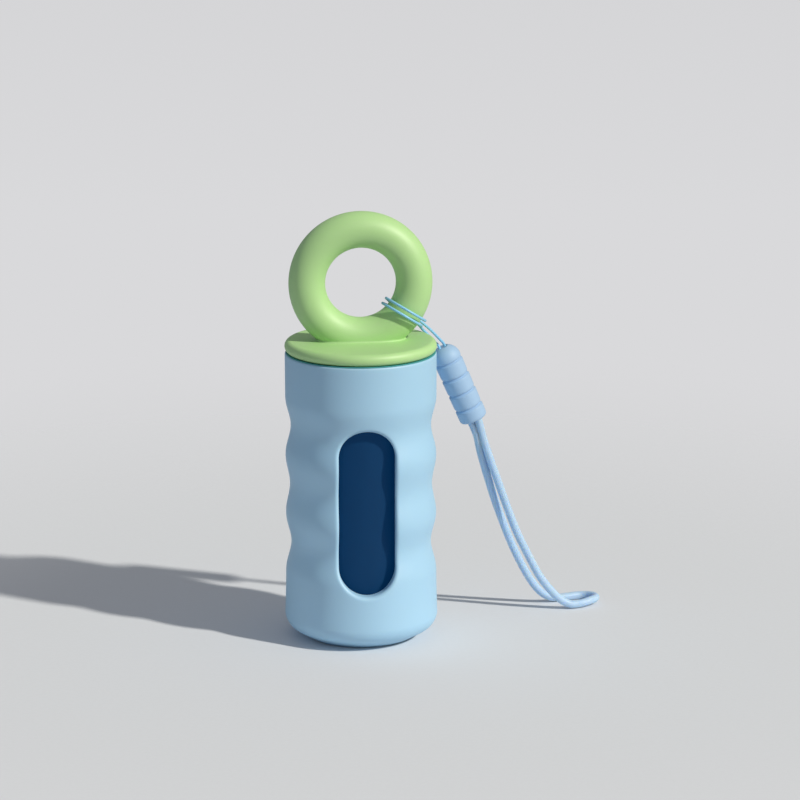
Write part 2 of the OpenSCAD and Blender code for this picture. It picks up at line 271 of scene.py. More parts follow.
def swept_tube(name, path, radius, around):
    """A closed tube with a UV map: u goes once round, v goes along in circumferences."""
    sides, ups = carried_frames(path)
    turns = np.arange(around) * 2 * math.pi / around
    points = [p + radius * (math.cos(t) * s + math.sin(t) * u)
              for p, s, u in zip(path, sides, ups) for t in turns]
    last = len(path) - 1
    faces = []
    for i in range(last):
        for j in range(around):
            k = (j + 1) % around
            a, b = i * around, (i + 1) * around
            faces.append((a + j, a + k, b + k, b + j))
    faces.append(tuple(range(around - 1, -1, -1)))
    faces.append(tuple(range(last * around, last * around + around)))
    piece = mesh_object(name, points, faces)
    run = np.r_[0, np.cumsum(np.linalg.norm(np.diff(path, axis=0), axis=1))]
    run = run / (2 * math.pi * radius)
    uv = piece.data.uv_layers.new(name="along").data
    for face in piece.data.polygons[:last * around]:
        i, j = divmod(face.index, around)
        corners = ((j, i), (j + 1, i), (j + 1, i + 1), (j, i + 1))
        for loop, (u, v) in zip(face.loop_indices, corners):
            uv[loop].uv = (u / around, run[v])
    return piece


# %% The thin cord
hitch_path = smooth_route(hitch_route, 6)
hitch_cord = swept_tube("hitch_cord_dressed", hitch_path, HITCH_D / 2, 12)

# %% The wrist cord
wrist_path = smooth_route(wrist_route, 5)
wrist_path[:, 2] = np.maximum(wrist_path[:, 2], WRIST_D / 2)    # it lies on the ground
wrist_cord = swept_tube("wrist_cord_dressed", wrist_path, WRIST_D / 2, 20)

# %% [markdown]
# ## Node trees built in the script
#
# Geometry Nodes suit what follows a rule: the grooves pressed into the shell, the ribs of
# the sleeve, the thread and the wound film. A tree is easier to read as a list of short
# calls, so one small class adds a node, sets its plain values and links its inputs. A second
# helper runs a finished tree on an object and keeps the result as a plain mesh.


# %% A small class that builds a node tree
class Tree:
    """Adds nodes to a tree. An input given as a socket is linked, anything else is set."""

    def __init__(self, tree):
        self.tree = tree

    def add(self, kind, inputs=None, **settings):
        node = self.tree.nodes.new(kind)
        for key, value in settings.items():
            setattr(node, key, value)
        for key, value in (inputs or {}).items():
            socket = node.inputs[key]
            if isinstance(value, bpy.types.NodeSocket):
                self.link(value, socket)
            else:
                socket.default_value = value
        return node

    def link(self, source, socket):
        self.tree.links.new(source, socket)

    def math(self, operation, *values):
        node = self.add("ShaderNodeMath", dict(enumerate(values)), operation=operation)
        return node.outputs["Value"]


# %% Start and end a Geometry Nodes tree
def shape_tree(name, inputs):
    """A Geometry Nodes tree with a geometry in and out, and a named input for each size."""
    tree = bpy.data.node_groups.new(name, "GeometryNodeTree")
    face = tree.interface
    face.new_socket("Geometry", in_out="INPUT", socket_type="NodeSocketGeometry")
    for label, value in inputs.items():
        socket = face.new_socket(label, in_out="INPUT", socket_type="NodeSocketFloat")
        socket.default_value = value
    face.new_socket("Geometry", in_out="OUTPUT", socket_type="NodeSocketGeometry")
    build = Tree(tree)
    return build, build.add("NodeGroupInput").outputs, build.add("NodeGroupOutput").inputs


def end_tree(build, shape, material, result):
    """Every tree ends alike: its instances are made real and get their material."""
    real = build.add("GeometryNodeRealizeInstances", {0: shape})
    painted = build.add("GeometryNodeSetMaterial", {
        "Geometry": real.outputs[0], "Material": material})
    build.link(painted.outputs[0], result[0])


# %% Keep what a modifier makes as a plain mesh
def keep_result(piece):
    """Makes what the piece's modifiers show its own mesh, and removes them."""
    bpy.context.view_layer.update()
    graph = bpy.context.evaluated_depsgraph_get()
    mesh = bpy.data.meshes.new_from_object(piece.evaluated_get(graph))
    piece.modifiers.clear()
    blank, piece.data = piece.data, mesh
    bpy.data.meshes.remove(blank)
    mesh.name = piece.name


def run_tree(piece, build, **sizes):
    """Runs the tree on the piece with these sizes and keeps the result."""
    modifier = piece.modifiers.new("shape", "NODES")
    modifier.node_group = build.tree
    for item in build.tree.interface.items_tree:
        if item.in_out == "INPUT" and item.name in sizes:
            modifier[item.identifier] = sizes[item.name]
    keep_result(piece)


# %% The materials that the trees give, dressed further down
def new_material(name):
    material = bpy.data.materials.new(name)
    material.use_nodes = True
    material.node_tree.nodes.clear()
    return material


shell_finish = new_material("satin_sky_blue")
lid_finish = new_material("satin_light_green")
sleeve_finish = new_material("soft_light_blue")
film_finish = new_material("navy_film")

# %% [markdown]
# ## The shell
#
# The real shell is one moulding: a cup with an even, polished wall, three grooves that a hand
# finds by touch, and a window with a lip as round as a pebble. A boolean cut would leave a
# ragged edge that no bevel could follow over the grooves. Instead the blank is a straight cup
# whose mesh already flows round the window: full rows of points above and below, and beside
# the window a patch of rings that pass from its outline to a rectangle. The same rings run
# through the wall and out over the bore, so the lip's round is part of the flow.
#
# A Geometry Nodes tree then presses the grooves. Each point carries a direction and a share,
# called press, and every groove moves it by a cosine-squared dip, so depth and spacing stay
# plain inputs.

# %% The shell's sizes, in millimetres
SHELL_R = 19.5
SHELL_H = 75.3
BORE_R = 16.4
FLOOR_T = 2.2
FOOT_R = 13.5
FOOT_RISE = math.radians(30)
FOOT_ROUND = 4.5
WAVE_PITCH = 15.5
WAVE_LOW = 25.2
WAVE_MID = WAVE_LOW + WAVE_PITCH
TOP_FLARE = 0.05
FOOT_FLARE = 0.35
MOUTH_R = 18.0
MOUTH_DEPTH = 6.6
MOUTH_LEAD = 1.6
SEAT_R = 18.9                 # the step in the rim that the seal lies in
SEAT_DEPTH = 0.35
MOUTH_ROUND = 0.5
WINDOW_R = 7.25
WINDOW_LOW = 15.1
WINDOW_HIGH = 58.3
LIP = 1.1                     # the round of the window's edge, outside and inside
INNER_LIP = 0.35
GROOVE_DEEP = 1.38            # the lowest and highest groove, and the one between them
GROOVE_SHALLOW = 1.1


def flared_r(z):
    """The wall's radius before the grooves are pressed: it flares towards both ends."""
    flare = TOP_FLARE if z > WAVE_MID else FOOT_FLARE
    return SHELL_R + flare * ((z - WAVE_MID) / (SHELL_H - WAVE_MID)) ** 4


def arc(x, z, r, start, stop, steps):
    """Points of an arc in the lathe's plane, in degrees."""
    return [(x + r * math.cos(math.radians(a)), z + r * math.sin(math.radians(a)))
            for a in np.linspace(start, stop, steps + 1)]


# %% Rows of the straight cup, from the middle of the base round to the middle of the floor
ROW = 0.75                    # between two rows of the grooved wall
PATCH_LOW, PATCH_HIGH = 10.5, 63.0
GROOVED_HIGH = 74.5           # the rows above this one make the mouth
CREASE = 0.03                 # a row this close to a corner keeps it sharp
MOUTH_EASE = 0.3
FLOOR_ROUND = 0.8

foot_side_r = SHELL_R + FOOT_FLARE
foot_x = foot_side_r - FOOT_ROUND
foot_z = (FOOT_ROUND + (foot_x - FOOT_R) * math.sin(FOOT_RISE)) / math.cos(FOOT_RISE)
mouth_side_r = SHELL_R + TOP_FLARE
seat_z = SHELL_H - SEAT_DEPTH

base_rows = [(r, 0) for r in (0.01, 4, 8, 12)] + [(13.0, 0.01), (13.35, 0.06)]
base_rows += [(r, (r - FOOT_R) * math.tan(FOOT_RISE)) for r in (13.8, 14.6, 15.6, 16.6)]
base_rows += arc(foot_x, foot_z, FOOT_ROUND, math.degrees(FOOT_RISE) - 90, 0, 12)
base_rows += [(flared_r(z), z) for z in (7.1, 8.0, 8.9, 9.7)]
patch_zs = np.linspace(PATCH_LOW, PATCH_HIGH, round((PATCH_HIGH - PATCH_LOW) / ROW) + 1)
side_rows = [(flared_r(z), z) for z in patch_zs]
high_rows = [(flared_r(z), z) for z in np.arange(PATCH_HIGH + ROW, GROOVED_HIGH, ROW)]
mouth_rows = arc(mouth_side_r - MOUTH_ROUND, SHELL_H - MOUTH_ROUND, MOUTH_ROUND, 0, 90, 7)
mouth_rows += [(SEAT_R, SHELL_H - CREASE), (SEAT_R, seat_z + CREASE),
               (SEAT_R - CREASE, seat_z)]
mouth_rows += arc(MOUTH_R + MOUTH_EASE, seat_z - MOUTH_EASE, MOUTH_EASE, 90, 180, 4)
mouth_rows += [(MOUTH_R, SHELL_H - 3), (MOUTH_R, SHELL_H - MOUTH_DEPTH),
               (BORE_R, SHELL_H - MOUTH_DEPTH - MOUTH_LEAD)]
bore_rows = [(BORE_R, z) for z in patch_zs[::-1]]
floor_rows = [(BORE_R, 6), (BORE_R, 3.4)]
floor_rows += arc(BORE_R - FLOOR_ROUND, FLOOR_T + FLOOR_ROUND, FLOOR_ROUND, 0, -90, 4)
floor_rows += [(8, FLOOR_T), (0.01, FLOOR_T)]
print("grooved wall:", len(side_rows) + len(high_rows), "rows")

# %% Columns: close together in front, wider behind
FRONT_COLUMNS, BACK_COLUMNS = 36, 112
FRONT_HALF = 12               # the patch reaches this far to each side
front_edge = math.asin(FRONT_HALF / SHELL_R)
columns = np.r_[
    np.arcsin(np.linspace(-FRONT_HALF, FRONT_HALF, FRONT_COLUMNS + 1) / SHELL_R),
    np.linspace(front_edge, 2 * math.pi - front_edge, BACK_COLUMNS + 1)[1:-1],
]
print(len(columns), "columns")

# %% Rows of points and the faces between them
shell_points, shell_press, shell_faces = [], [], []


def add_point(p, press):
    shell_points.append(p)
    shell_press.append(press)
    return len(shell_points) - 1


def add_row(radius, z, share, has_front):
    """One row of points round the cup, without its front where the window's patch is."""
    row = []
    for c, a in enumerate(columns):
        if not has_front and 0 < c < FRONT_COLUMNS:
            row.append(None)
            continue
        out = np.array([math.sin(a), -math.cos(a), 0])
        row.append(add_point(radius * out + np.array([0, 0, z]), -share * out))
    return row


def join_rows(below, above):
    for c in range(len(columns)):
        n = (c + 1) % len(columns)
        corners = (below[c], below[n], above[n], above[c])
        if None not in corners:
            shell_faces.append(corners)


def add_stretch(rows, share, patch=False):
    """Rows that belong together. In a patch, only the first and last go all round."""
    last = len(rows) - 1
    return [add_row(r, z, share, not patch or i in (0, last)) for i, (r, z) in enumerate(rows)]


# %% Lay the rows, and leave both patches open
outside = add_stretch(base_rows, 0)
side = add_stretch(side_rows, 1, patch=True)
inside = add_stretch(high_rows, 1) + add_stretch(mouth_rows, 0)
bore = add_stretch(bore_rows, 0, patch=True)
all_rows = outside + side + inside + bore + add_stretch(floor_rows, 0)
for below, above in zip(all_rows[:-1], all_rows[1:]):
    join_rows(below, above)
shell_faces.append(tuple(all_rows[0][::-1]))
shell_faces.append(tuple(all_rows[-1]))
print(len(shell_points), "points in the rows")


# %% The window's outline
def window_outline(run, away):
    """A point of the round-ended outline, run along it from the middle of its lower end,
    and moved away from it."""
    straight = WINDOW_HIGH - WINDOW_LOW - 2 * WINDOW_R
    half = math.pi * WINDOW_R
    low, high = WINDOW_LOW + WINDOW_R, WINDOW_HIGH - WINDOW_R
    run = (run + half / 2) % (2 * half + 2 * straight)
    reach = WINDOW_R + away
    if run < half:
        a = math.pi + run / WINDOW_R
        return reach * math.cos(a), low + reach * math.sin(a)
    if run < half + straight:
        return reach, low + run - half
    if run < 2 * half + straight:
        a = (run - half - straight) / WINDOW_R
        return reach * math.cos(a), high + reach * math.sin(a)
    return -reach, high - (run - 2 * half - straight)


# %% Match the rectangle's points, outside and in the bore, with places on the outline
def patch_edge(rows):
    """The points of a patch's rectangle in order, from the first row's left end."""
    right = [row[FRONT_COLUMNS] for row in rows[1:-1]]
    left = [row[0] for row in rows[1:-1]]
    return rows[0][:FRONT_COLUMNS + 1] + right + rows[-1][FRONT_COLUMNS::-1] + left[::-1]


outer_edge = patch_edge(side)
count = len(outer_edge)
first_high = 2 * FRONT_COLUMNS + len(side) - 1
bore_edge = patch_edge(bore)
inner_edge = [bore_edge[(first_high - i) % count] for i in range(count)]
outline_l = 2 * math.pi * WINDOW_R + 2 * (WINDOW_HIGH - WINDOW_LOW - 2 * WINDOW_R)
runs = [(i - FRONT_COLUMNS / 2) / count * outline_l for i in range(count)]
print(f"the window's outline is {outline_l:.1f} mm long")


# %% Rings of points between the outline and the rectangle
def add_ring(away, depth, radius, share):
    """A ring of points at a distance from the outline and a depth below the surface."""
    ring = []
    for run in runs:
        x, z = window_outline(run, away)
        r = radius(z)
        y = math.sqrt(r * r - x * x)
        ring.append(add_point(np.array([x, -y + depth, z]), np.array([0, share * r / y, 0])))
    return ring


def add_blend(edge, away, radius, share, steps):
    """Rings that pass from the rectangle's points to the outline."""
    rings = []
    for t in (np.arange(1, steps + 1) / (steps + 1)):
        ring = []
        for i, run in zip(edge, runs):
            x0, _, z0 = shell_points[i]
            x1, z1 = window_outline(run, away)
            x, z = x0 + (x1 - x0) * t, z0 + (z1 - z0) * t
            r = radius(z)
            y = math.sqrt(r * r - x * x)
            push = (1 - t) * np.array([-x / r, y / r, 0]) + t * np.array([0, r / y, 0])
            ring.append(add_point(np.array([x, -y, z]), share * push))
        rings.append(ring)
    return rings


def bore_r(z):
    return BORE_R


# %% Lay the rings from the wall's face over both lips to the bore
OUTER_BLEND, LIP_RINGS, INNER_LIP_RINGS, INNER_BLEND = 6, 9, 5, 5
rings = [outer_edge] + add_blend(outer_edge, LIP, flared_r, 1, OUTER_BLEND)
for a in np.radians(np.linspace(90, 0, LIP_RINGS)):
    rings.append(add_ring(LIP * (1 - math.cos(a)), LIP * (1 - math.sin(a)), flared_r, 1))
for a in np.radians(np.linspace(0, 90, INNER_LIP_RINGS)):
    rings.append(add_ring(INNER_LIP * (1 - math.cos(a)),
                          -INNER_LIP * (1 - math.sin(a)), bore_r, 0))
rings += add_blend(inner_edge, INNER_LIP, bore_r, 0, INNER_BLEND)[::-1] + [inner_edge]
for outer, inner in zip(rings[:-1], rings[1:]):
    for i in range(count):
        n = (i + 1) % count
        shell_faces.append((outer[i], outer[n], inner[n], inner[i]))
print(len(rings), "rings round the window, of", count, "points each")

# %% The tree that presses the grooves
press_tree, given, result = shape_tree("press_grooves", {
    "Pitch": WAVE_PITCH * MM, "Lowest": WAVE_LOW * MM, "Deep": GROOVE_DEEP * MM,
    "Shallow": GROOVE_SHALLOW * MM,
})
m = press_tree.math
place = press_tree.add("GeometryNodeInputPosition").outputs[0]
height = press_tree.add("ShaderNodeSeparateXYZ", {0: place}).outputs["Z"]


def groove_dip(step, depth):
    """The dip of one groove at a point's height: depth times a squared cosine."""
    middle = m("MULTIPLY_ADD", given["Pitch"], float(step), given["Lowest"])
    part = m("DIVIDE", m("SUBTRACT", height, middle), given["Pitch"])
    near = m("LESS_THAN", m("ABSOLUTE", part), 0.5)
    wave = m("POWER", m("COSINE", m("MULTIPLY", part, math.pi)), 2.0)
    return m("MULTIPLY", m("MULTIPLY", wave, near), given[depth])


dip = m("ADD", m("ADD", groove_dip(0, "Deep"), groove_dip(1, "Shallow")),
        groove_dip(2, "Deep"))
press = press_tree.add("GeometryNodeInputNamedAttribute", {"Name": "press"},
                       data_type="FLOAT_VECTOR").outputs["Attribute"]
move = press_tree.add("ShaderNodeVectorMath", {0: press, "Scale": dip}, operation="SCALE")
pressed = press_tree.add("GeometryNodeSetPosition", {
    "Geometry": given["Geometry"], "Offset": move.outputs[0]})
end_tree(press_tree, pressed.outputs[0], shell_finish, result)

# %% Make the cup and press it
shell = mesh_object("dispenser_shell", shell_points, shell_faces, 50)
attribute = shell.data.attributes.new("press", "FLOAT_VECTOR", "POINT")
attribute.data.foreach_set("vector", np.array(shell_press, float).ravel())
run_tree(shell, press_tree)
shell.data.attributes.remove(shell.data.attributes["press"])
print("shell:", len(shell.data.polygons), "faces")

# %% [markdown]
# ## The lid's cap
#
# The cap is a disc with a full-round edge and a ring that grows out of it with a small
# fillet. A boolean of a torus and a disc leaves a hard crease, and a bevel on that crease is
# never even. A fillet between two smooth bodies is easiest as a formula instead: each body is
# a distance, and a round union of two distances is the two bodies with a fillet of a known
# radius. The mesh starts as a remesh of the two plain bodies, and its points are then moved
# on to the formula's zero surface. The surface's own slope gives the normals.

# %% The cap's distance formula, in millimetres
DISC_R = 19.6
DISC_LOW = 75.5
DISC_T = 3.1
CAP_FILLET = 0.6


def cap_distance(p):
    """How far each point is outside the cap, less than zero inside."""
    x, y, z = p.T
    ring = np.hypot(np.hypot(x, z - RING_Z) - RING_R, y) - RING_BAR_R
    past_edge = np.maximum(np.hypot(x, y) - (DISC_R - DISC_T / 2), 0)
    disc = np.hypot(past_edge, z - DISC_LOW - DISC_T / 2) - DISC_T / 2
    nearer = np.maximum(np.minimum(ring, disc), CAP_FILLET)
    ring_share = np.maximum(CAP_FILLET - ring, 0)
    disc_share = np.maximum(CAP_FILLET - disc, 0)
    return np.maximum(nearer - np.hypot(ring_share, disc_share), DISC_LOW - z)


def cap_slope(p, step=1e-3):
    """The direction in which the distance grows, at each point."""
    slope = np.empty_like(p)
    for axis in range(3):
        reach = np.zeros(3)
        reach[axis] = step
        slope[:, axis] = (cap_distance(p + reach) - cap_distance(p - reach)) / (2 * step)
    return slope / np.linalg.norm(slope, axis=1, keepdims=True)


# %% The two plain bodies in one mesh
def plain_cap():
    """A torus and a thick disc in one mesh, both close to the cap's own surface."""
    build = bmesh.new()
    around, across = 96, 32
    rings = []
    for i in range(around):
        a = 2 * math.pi * i / around
        ring = []
        for j in range(across):
            b = 2 * math.pi * j / across
            reach = RING_R + RING_BAR_R * math.cos(b)
            place = (reach * math.cos(a), RING_BAR_R * math.sin(b), RING_Z + reach * math.sin(a))
            ring.append(build.verts.new(Vector(place) * MM))
        rings.append(ring)
    for i in range(around):
        for j in range(across):
            k, n = (j + 1) % across, (i + 1) % around
            build.faces.new((rings[i][j], rings[i][k], rings[n][k], rings[n][j]))
    middle = Matrix.Translation((0, 0, (DISC_LOW + DISC_T / 2) * MM))
    blank_r = (DISC_R - 0.6) * MM
    bmesh.ops.create_cone(build, cap_ends=True, segments=128, radius1=blank_r,
                          radius2=blank_r, depth=DISC_T * MM, matrix=middle)
    bmesh.ops.recalc_face_normals(build, faces=build.faces)
    mesh = bpy.data.meshes.new("lid_cap")
    build.to_mesh(mesh)
    build.free()
    return mesh


# %% Remesh them into even faces
VOXEL = 0.33
lid_cap = add_object("lid_cap", plain_cap())
remesh = lid_cap.modifiers.new("even_faces", "REMESH")
remesh.mode = "VOXEL"
remesh.voxel_size = VOXEL * MM
keep_result(lid_cap)
even_mesh = lid_cap.data
print("cap starts with", len(even_mesh.vertices), "points")

# %% Move the points on to the formula's surface and even them out along it
count = len(even_mesh.vertices)
p = np.empty(count * 3)
even_mesh.vertices.foreach_get("co", p)
p = p.reshape(count, 3) / MM
ends = np.empty(len(even_mesh.edges) * 2, int)
even_mesh.edges.foreach_get("vertices", ends)
ends = ends.reshape(-1, 2)
neighbours = np.bincount(ends.ravel(), minlength=count)[:, None]


def settle(p, rounds):
    for _ in range(rounds):
        p = p - cap_distance(p)[:, None] * cap_slope(p)
    return p


p = settle(p, 4)
for _ in range(6):
    total = np.zeros_like(p)
    np.add.at(total, ends[:, 0], p[ends[:, 1]])
    np.add.at(total, ends[:, 1], p[ends[:, 0]])
    pull = total / neighbours - p
    slope = cap_slope(p)
    pull -= (pull * slope).sum(axis=1, keepdims=True) * slope
    p = settle(p + 0.5 * pull, 1)
p = settle(p, 3)
even_mesh.vertices.foreach_set("co", (p * MM).ravel())
even_mesh.shade_smooth()
even_mesh.normals_split_custom_set_from_vertices([tuple(n) for n in cap_slope(p)])
print(f"cap is off its formula by {abs(cap_distance(p)).max():.4f} mm at most")

# %% [markdown]
# ## The lid's plug and the thread
#
# Under the disc a hollow plug reaches into the shell's mouth, with one turn of coarse thread
# on it, and the mouth has the matching turn. The plug is a plain lathe shape. The ridge
# follows a helix, which is a job for Geometry Nodes: a spiral curve carries a section with a
# slanted flank, and the curve's radius fades the ridge out at both ends, as on a moulded
# thread.


# %% Turn a half-section into a closed ring of faces
def lathe(name, section, around=128, smooth_angle=35):
    """A closed section of (radius, height) points turned about the vertical axis. A section
    runs clockwise, seen with the axis on its left."""
    turns = np.arange(around) * 2 * math.pi / around
    points = [(r * math.cos(t), r * math.sin(t), z) for r, z in section for t in turns]
    rows = len(section)
    faces = []
    for i in range(rows):
        a, b = i * around, (i + 1) % rows * around
        for j in range(around):
            k = (j + 1) % around
            faces.append((a + j, b + j, b + k, a + k))
    return mesh_object(name, points, faces, smooth_angle)


PLUG_R = 16.9
PLUG_WALL = 1.7
PLUG_L = 6.1
PLUG_SUNK = 0.2               # how far the plug reaches up into the disc
INNER_ROUND = 0.3
OUTER_ROUND = 0.5
plug_low = DISC_LOW - PLUG_L
plug_top = DISC_LOW + PLUG_SUNK
plug_in_r = PLUG_R - PLUG_WALL
plug_section = (
    arc(plug_in_r + INNER_ROUND, plug_low + INNER_ROUND, INNER_ROUND, 180, 270, 4)[::-1]
    + [(plug_in_r, plug_top), (PLUG_R, plug_top)]
    + arc(PLUG_R - OUTER_ROUND, plug_low + OUTER_ROUND, OUTER_ROUND, 0, -90, 5)
)
lid_plug = lathe("lid_plug", plug_section)
print("plug:", len(plug_section), "points in its section")

# %% The tree that winds a ridge
THREAD_PITCH = 4.0
LID_THREAD_R = 16.6           # where each ridge's section is centred, half sunk in its wall
MOUTH_THREAD_R = 18.3
t, given, result = shape_tree("thread_ridge", {
    "Middle Radius": LID_THREAD_R * MM, "Ridge Height": 1.1 * MM, "Upper Width": 1.6 * MM,
    "Lower Width": 0.8 * MM, "Pitch": THREAD_PITCH * MM, "Level": 0.0, "Start": 0.0,
    "Fade": 0.08,
})
spiral = t.add("GeometryNodeCurveSpiral", {
    "Resolution": 96, "Rotations": 1.0, "Start Radius": given["Middle Radius"],
    "End Radius": given["Middle Radius"], "Height": given["Pitch"]})
along = t.add("GeometryNodeSplineParameter").outputs["Factor"]
rise = t.math("MINIMUM", t.math("DIVIDE", along, given["Fade"]), 1.0)
fall = t.math("MINIMUM", t.math("DIVIDE", t.math("SUBTRACT", 1.0, along), given["Fade"]), 1.0)
upright = t.add("GeometryNodeSetCurveNormal", {"Curve": spiral.outputs[0]}, mode="Z_UP")
fading = t.add("GeometryNodeSetCurveRadius", {
    "Curve": upright.outputs[0], "Radius": t.math("MULTIPLY", rise, fall)})
# The curve carries its section upside down, so the section's bottom is the ridge's top.
ridge_section = t.add("GeometryNodeCurvePrimitiveQuadrilateral", {
    "Height": given["Ridge Height"], "Bottom Width": given["Upper Width"],
    "Top Width": given["Lower Width"], "Offset": 0.0}, mode="TRAPEZOID")
ridge = t.add("GeometryNodeCurveToMesh", {
    "Curve": fading.outputs[0], "Profile Curve": ridge_section.outputs[0],
    "Fill Caps": True})
turn = t.add("ShaderNodeCombineXYZ", {"Z": given["Start"]})
lift = t.add("ShaderNodeCombineXYZ", {"Z": given["Level"]})
placed = t.add("GeometryNodeTransform", {
    "Geometry": ridge.outputs[0], "Translation": lift.outputs[0],
    "Rotation": turn.outputs[0]})
end_tree(t, placed.outputs[0], shell_finish, result)
thread_tree = t


# %% Wind both ridges
def wind_ridge(name, material, **sizes):
    """A ridge of these sizes, in the material of the part that it is moulded on."""
    ridge = add_object(name, bpy.data.meshes.new(name))
    run_tree(ridge, thread_tree, **sizes)
    ridge.data.materials.clear()
    ridge.data.materials.append(material)
    ridge.data.shade_flat()
    low = min(v.co.z for v in ridge.data.vertices) / MM
    wide = max(v.co.xy.length for v in ridge.data.vertices) / MM
    slim = min(v.co.xy.length for v in ridge.data.vertices) / MM
    print(f"{name}: from {low:.2f} mm up, radius {slim:.2f} to {wide:.2f} mm")
    return ridge


THREAD_DROP = 5.25            # from the rim down to the mouth's thread
LID_THREAD_START = 200        # degrees round, where the lid's thread begins
thread_low = SHELL_H - THREAD_DROP
mouth_thread = wind_ridge("mouth_thread", shell_finish, **{
    "Middle Radius": MOUTH_THREAD_R * MM, "Level": thread_low * MM})
lid_thread_low = thread_low + THREAD_PITCH * LID_THREAD_START / 360 - THREAD_PITCH / 2
lid_thread = wind_ridge("lid_thread", lid_finish, **{
    "Level": lid_thread_low * MM, "Start": math.radians(LID_THREAD_START)})

# %% [markdown]
# ## The seal's lip
#
# The lid closes on a flat rubber ring. Its outer edge is pressed out a little and shows as a
# thin teal line between rim and disc. The ring itself lies in the construction, so only the
# lip is added, as one closed lathe section with eased edges.

# %% The seal's lip, pressed out between rim and disc
SEAL_IN, SEAL_OUT = 18.7, 19.36
SEAL_EASE = 0.05
SEAL_TAPER = 0.06
seal_low, seal_high = SHELL_H + 0.01, DISC_LOW - 0.01
seal_lip = lathe("seal_lip", [
    (SEAL_IN, seal_low), (SEAL_IN, seal_high), (SEAL_OUT - SEAL_TAPER, seal_high),
    (SEAL_OUT, seal_high - SEAL_EASE), (SEAL_OUT, seal_low + SEAL_EASE),
    (SEAL_OUT - SEAL_TAPER, seal_low)])
print("seal lip:", len(seal_lip.data.polygons), "faces")

# %% [markdown]
# ## The sleeve
#
# The rubber sleeve joins the two cords: a dome with an eye for the thin cord, then four
# ribs. Each rib steps out of its groove, narrows a little on its way down and rounds off into
# the next groove. The blank is a straight lathe shape with fine rows. Its ribs follow a rule,
# so a Geometry Nodes tree presses them: it takes each point's depth below the pole, finds how
# far down its rib it is, and moves it inwards. Last, the mesh is turned on to the sleeve's
# own axis.

# %% The sleeve's blank, with its pole at the origin
DOME_R = 3.7
RIB_R = 3.8
RIB_PITCH = 4.5
FOOT_RIB_L = 3.8
GROOVE_R = 3.2
RIB_EDGE = 0.8
RIB_TAPER = 0.15
COLLAR_L = 0.5                # how far down a rib its step out of the groove reaches
EYE_R = 1.2
EYE_LIP = 0.3
EYE_DEPTH = 0.2               # rubber closes the eye round the cord this far down
SLEEVE_AROUND = 80
dome_l = SLEEVE_L - 3 * RIB_PITCH - FOOT_RIB_L
eye_turn = math.degrees(math.acos((EYE_R + EYE_LIP) / DOME_R))

dome_rows = arc(0, -DOME_R, DOME_R, eye_turn, 0, 20)
dome_rows += [(DOME_R, z) for z in np.arange(-DOME_R - 0.1, -dome_l, -0.05)]
rib_rows = [(RIB_R, z) for z in np.arange(-dome_l, RIB_EDGE - SLEEVE_L, -0.1)]
foot_rows = arc(RIB_R - RIB_EDGE, RIB_EDGE - SLEEVE_L, RIB_EDGE, 0, -90, 6)
eye_rim = -DOME_R * (1 - math.sin(math.radians(eye_turn)))
eye_floor = eye_rim - EYE_DEPTH
inside_rows = [(SLEEVE_BORE_R, -SLEEVE_L), (SLEEVE_BORE_R, -CRIMP_HIGH), (0.01, -CRIMP_HIGH)]
inside_rows += [(0.01, eye_floor), (EYE_R, eye_floor), (EYE_R + 0.15, eye_rim - 0.08)]
sleeve_section = dome_rows + rib_rows + foot_rows + inside_rows
sleeve = lathe("strap_sleeve", sleeve_section, SLEEVE_AROUND, 60)
press_share = sleeve.data.attributes.new("press", "FLOAT", "POINT")
outer_count = SLEEVE_AROUND * len(dome_rows + rib_rows + foot_rows)
for i in range(outer_count):
    press_share.data[i].value = 1.0
print("sleeve:", len(sleeve_section), "rows")

# %% The tree that presses the ribs
rib_tree, given, result = shape_tree("press_ribs", {
    "First Groove": dome_l * MM, "Pitch": RIB_PITCH * MM, "Depth": (RIB_R - GROOVE_R) * MM,
    "Dome Step": (RIB_R - DOME_R) * MM, "Collar": COLLAR_L * MM, "Edge": RIB_EDGE * MM,
    "Taper": RIB_TAPER * MM,
})
m = rib_tree.math
place = rib_tree.add("GeometryNodeInputPosition").outputs[0]
parts = rib_tree.add("ShaderNodeSeparateXYZ", {0: place})
below = m("SUBTRACT", m("MULTIPLY", parts.outputs["Z"], -1.0), given["First Groove"])
on_ribs = m("GREATER_THAN", below, -1e-6)
down_rib = m("FLOORED_MODULO", below, given["Pitch"])
to_groove = m("SUBTRACT", given["Pitch"], down_rib)
collar = m("MULTIPLY", given["Depth"],
           m("MAXIMUM", m("SUBTRACT", 1.0, m("DIVIDE", down_rib, given["Collar"])), 0.0))
near_edge = m("MAXIMUM", m("SUBTRACT", given["Edge"], to_groove), 0.0)
round_r2 = m("SUBTRACT", m("POWER", given["Edge"], 2.0), m("POWER", near_edge, 2.0))
edge = m("SUBTRACT", given["Edge"], m("SQRT", round_r2))
taper = m("MULTIPLY", given["Taper"], m("DIVIDE", down_rib, given["Pitch"]))
rib_dip = m("SMOOTH_MAX", collar, m("ADD", taper, edge), 0.25 * MM)
limit = m("SUBTRACT", given["Depth"], m("MULTIPLY", m("SUBTRACT", 1.0, on_ribs),
                                        given["Dome Step"]))
on_dome = m("MULTIPLY", edge, m("SUBTRACT", 1.0, on_ribs))
dip = m("MINIMUM", m("ADD", m("MULTIPLY", rib_dip, on_ribs), on_dome), limit)
share = rib_tree.add("GeometryNodeInputNamedAttribute", {"Name": "press"},
                     data_type="FLOAT").outputs["Attribute"]
flat = rib_tree.add("ShaderNodeCombineXYZ", {"X": parts.outputs["X"], "Y": parts.outputs["Y"]})
out = rib_tree.add("ShaderNodeVectorMath", {0: flat.outputs[0]}, operation="NORMALIZE")
